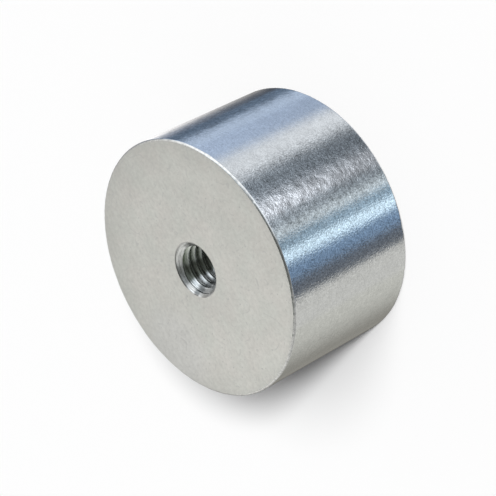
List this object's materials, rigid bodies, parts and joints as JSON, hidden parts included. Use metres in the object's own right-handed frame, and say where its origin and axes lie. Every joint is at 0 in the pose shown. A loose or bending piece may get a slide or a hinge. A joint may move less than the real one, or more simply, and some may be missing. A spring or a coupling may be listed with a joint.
{
  "type": "pot magnet",
  "caption": "Short cylindrical pot magnet: turned steel pot with a tapped blind hole in its back, and a disc magnet set in resin at the pole face.",
  "frame": {"origin": "centre of the pole face, on the plane of the steel rim that the part stands on", "axes": "+Z along the axis, out of the tapped back face; the body is round, so +X and +Y are free"},
  "size_m": [0.03, 0.03, 0.0175],
  "materials": {
    "zinc_plated_steel": "bright zinc plate over a finely turned surface, satin with a faint cool sparkle",
    "nickel_plated_magnet": "semi bright nickel plate",
    "potting_resin": "cured black casting resin with a soft gloss"
  },
  "bodies": {
    "root": {"steel_pot": "zinc_plated_steel", "magnet_core": "nickel_plated_magnet", "resin_ring": "potting_resin"}
  },
  "joints": []
}
